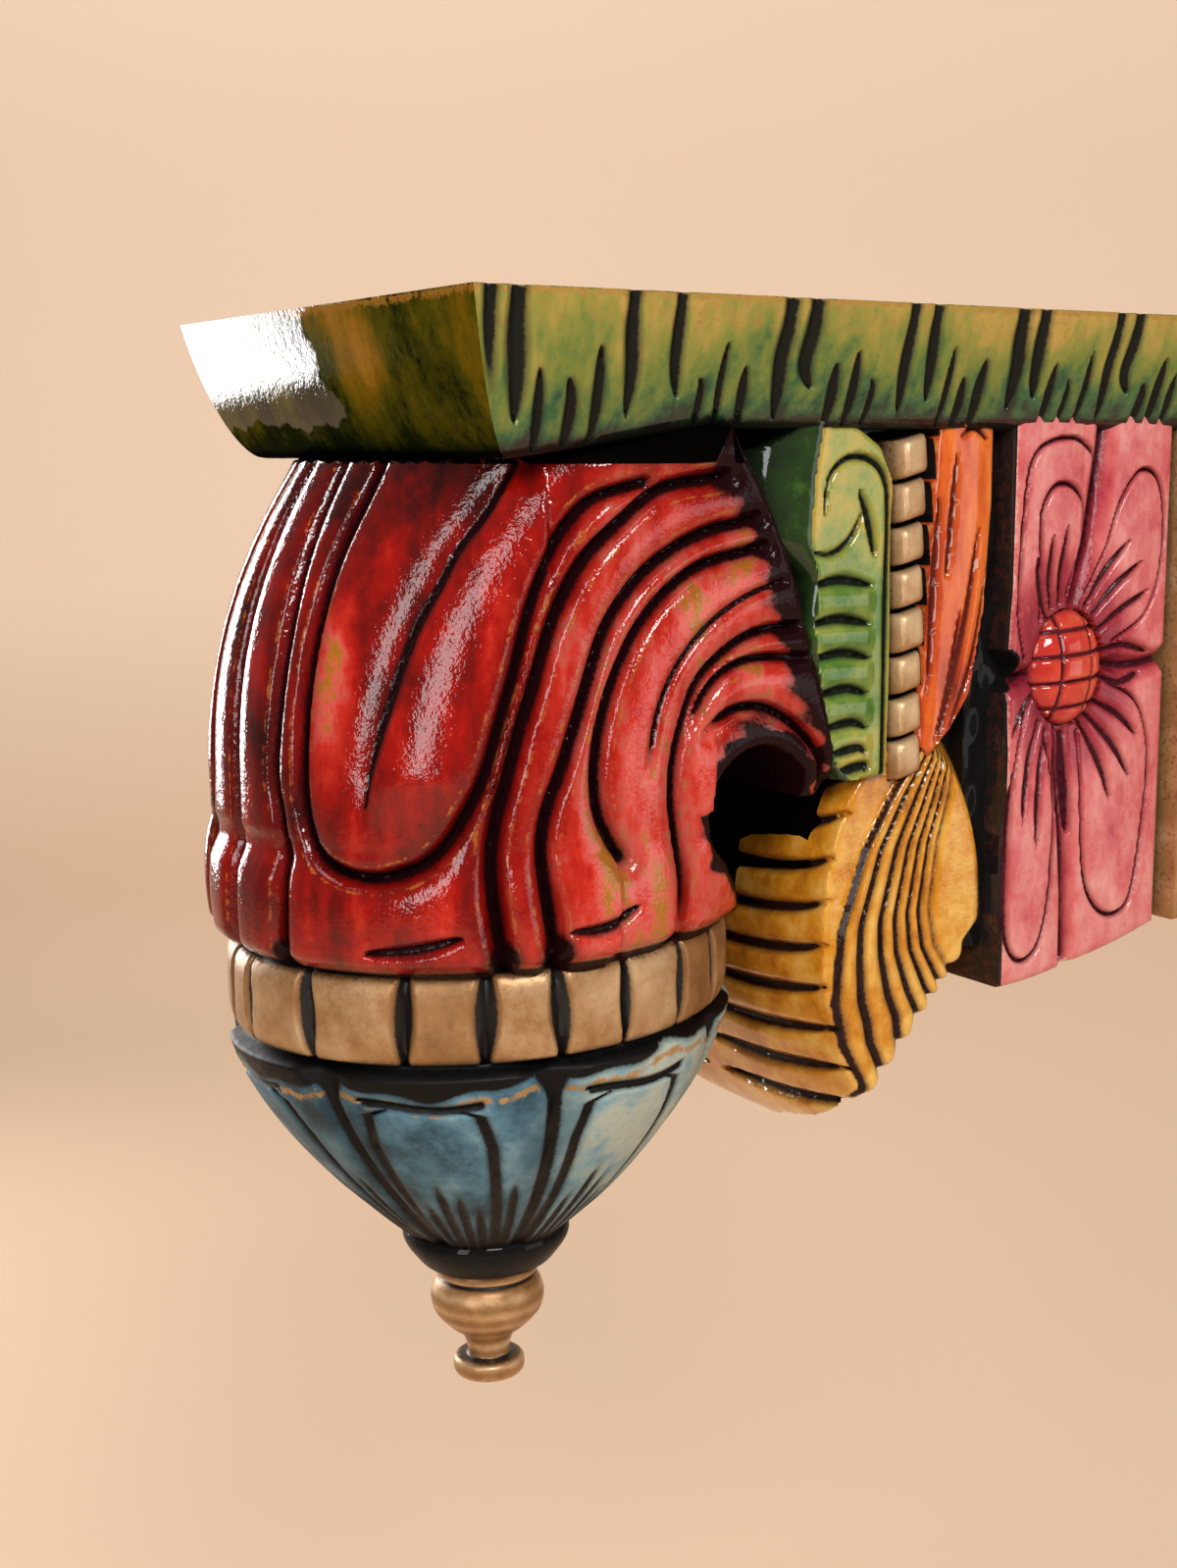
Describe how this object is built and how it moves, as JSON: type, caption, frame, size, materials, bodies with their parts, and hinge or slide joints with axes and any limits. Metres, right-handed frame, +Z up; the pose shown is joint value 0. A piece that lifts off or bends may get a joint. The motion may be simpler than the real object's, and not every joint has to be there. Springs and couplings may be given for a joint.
{
  "type": "carved wall bracket",
  "caption": "Carved and painted wooden wall bracket: a moulded shelf on a ribbed scroll, with a volute, leaf and flower panels at the sides and a turned bud hanging below.",
  "frame": {"origin": "centre of the flat back face, at the wall", "axes": "+Y into the wall, -Y out to the bracket's front, +Z up, +X to the right seen from the front"},
  "size_m": [0.164, 0.2733, 0.2515],
  "materials": {
    "bracket_paint": "gloss paint and lacquer on carved wood, rubbed",
    "bud_paint": "satin paint on turned and carved wood, rubbed"
  },
  "bodies": {
    "root": {"carved_bracket": "bracket_paint", "hanging_bud": "bud_paint"}
  },
  "joints": []
}
